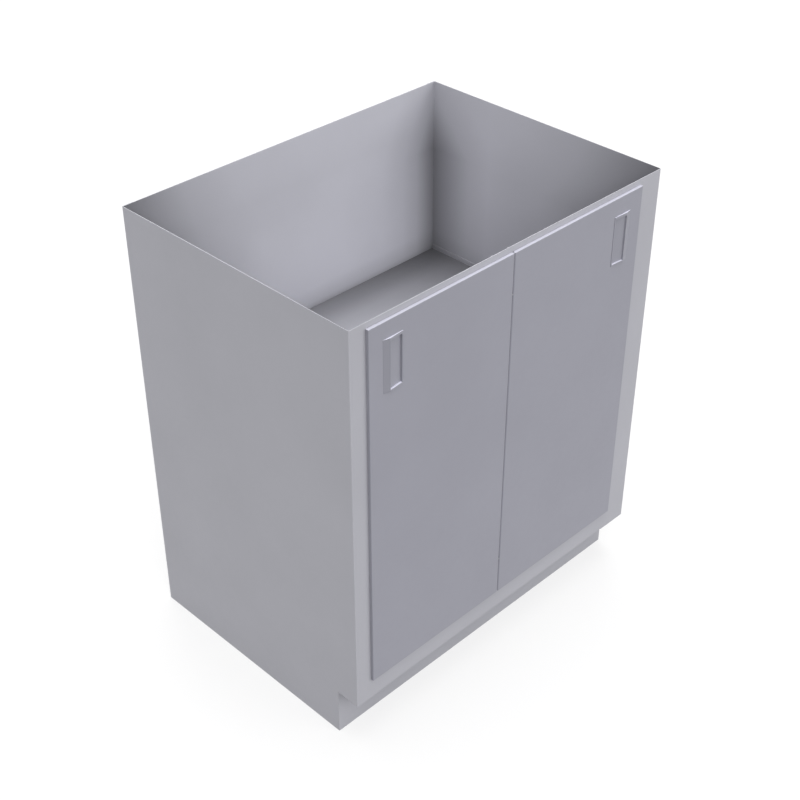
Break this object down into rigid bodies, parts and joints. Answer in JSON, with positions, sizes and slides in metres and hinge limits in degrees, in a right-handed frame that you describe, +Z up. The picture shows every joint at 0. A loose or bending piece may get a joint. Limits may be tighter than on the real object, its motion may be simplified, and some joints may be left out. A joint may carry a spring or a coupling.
{
  "type": "sink base cabinet",
  "caption": "Sheet-steel sink base cabinet with an open top, two lipped doors hung on a centre post, recessed toe kick, flush pulls, lift-out shelf and levelling feet.",
  "frame": {"origin": "centre of the bounding box on the floor", "axes": "+Z up, the doors face -Y, +X to the right seen from the front"},
  "size_m": [0.762, 0.5686, 0.8953],
  "materials": {
    "case_paint": "satin powder coat",
    "door_paint": "satin powder coat",
    "pull_paint": "satin powder coat",
    "core_board": "fibre board",
    "bright_steel": "zinc plated",
    "catch_plastic": "moulded",
    "bumper_rubber": "matt"
  },
  "bodies": {
    "cabinet": {"left_side_panel": "case_paint", "right_side_panel": "case_paint", "back_panel": "case_paint", "top_front_rail": "case_paint", "bottom_front_rail": "case_paint", "toe_kick": "case_paint", "bottom_panel": "case_paint", "center_mullion": "case_paint", "foot_gussets": "case_paint", "shelf_clips": "case_paint", "upper_pivot_bracket": "bright_steel", "lower_pivot_bracket": "bright_steel", "bracket_screws": "bright_steel", "left_catch": "catch_plastic", "right_catch": "catch_plastic", "door_bumpers": "bumper_rubber"},
    "left_door": {"left_door_skin": "door_paint", "left_door_inner_pan": "door_paint", "left_door_core": "core_board", "left_door_pivot_blocks": "bright_steel", "left_door_pull": "pull_paint", "left_pull_screws": "bright_steel", "left_door_strike": "bright_steel"},
    "right_door": {"right_door_skin": "door_paint", "right_door_inner_pan": "door_paint", "right_door_core": "core_board", "right_door_pivot_blocks": "bright_steel", "right_door_pull": "pull_paint", "right_pull_screws": "bright_steel", "right_door_strike": "bright_steel"},
    "shelf": {"shelf": "case_paint"},
    "left_front_foot": {"left_front_foot": "bright_steel"},
    "left_rear_foot": {"left_rear_foot": "bright_steel"},
    "right_front_foot": {"right_front_foot": "bright_steel"},
    "right_rear_foot": {"right_rear_foot": "bright_steel"}
  },
  "joints": [
    {"name": "left_door_hinge", "type": "hinge", "parent": "cabinet", "child": "left_door", "pos_m": [-0.0208, -0.27787, 0.5], "axis": [0, 0, 1], "range_deg": [0, 88]},
    {"name": "right_door_hinge", "type": "hinge", "parent": "cabinet", "child": "right_door", "pos_m": [-0.0138, -0.27787, 0.5], "axis": [0, 0, -1], "range_deg": [0, 88]},
    {"name": "shelf_lift", "type": "slide", "parent": "cabinet", "child": "shelf", "axis": [0, 0, 1], "range_m": [0, 0.4]},
    {"name": "left_front_foot_screw", "type": "slide", "parent": "cabinet", "child": "left_front_foot", "axis": [0, 0, -1], "range_m": [0, 0.02]},
    {"name": "left_rear_foot_screw", "type": "slide", "parent": "cabinet", "child": "left_rear_foot", "axis": [0, 0, -1], "range_m": [0, 0.02]},
    {"name": "right_front_foot_screw", "type": "slide", "parent": "cabinet", "child": "right_front_foot", "axis": [0, 0, -1], "range_m": [0, 0.02]},
    {"name": "right_rear_foot_screw", "type": "slide", "parent": "cabinet", "child": "right_rear_foot", "axis": [0, 0, -1], "range_m": [0, 0.02]}
  ]
}
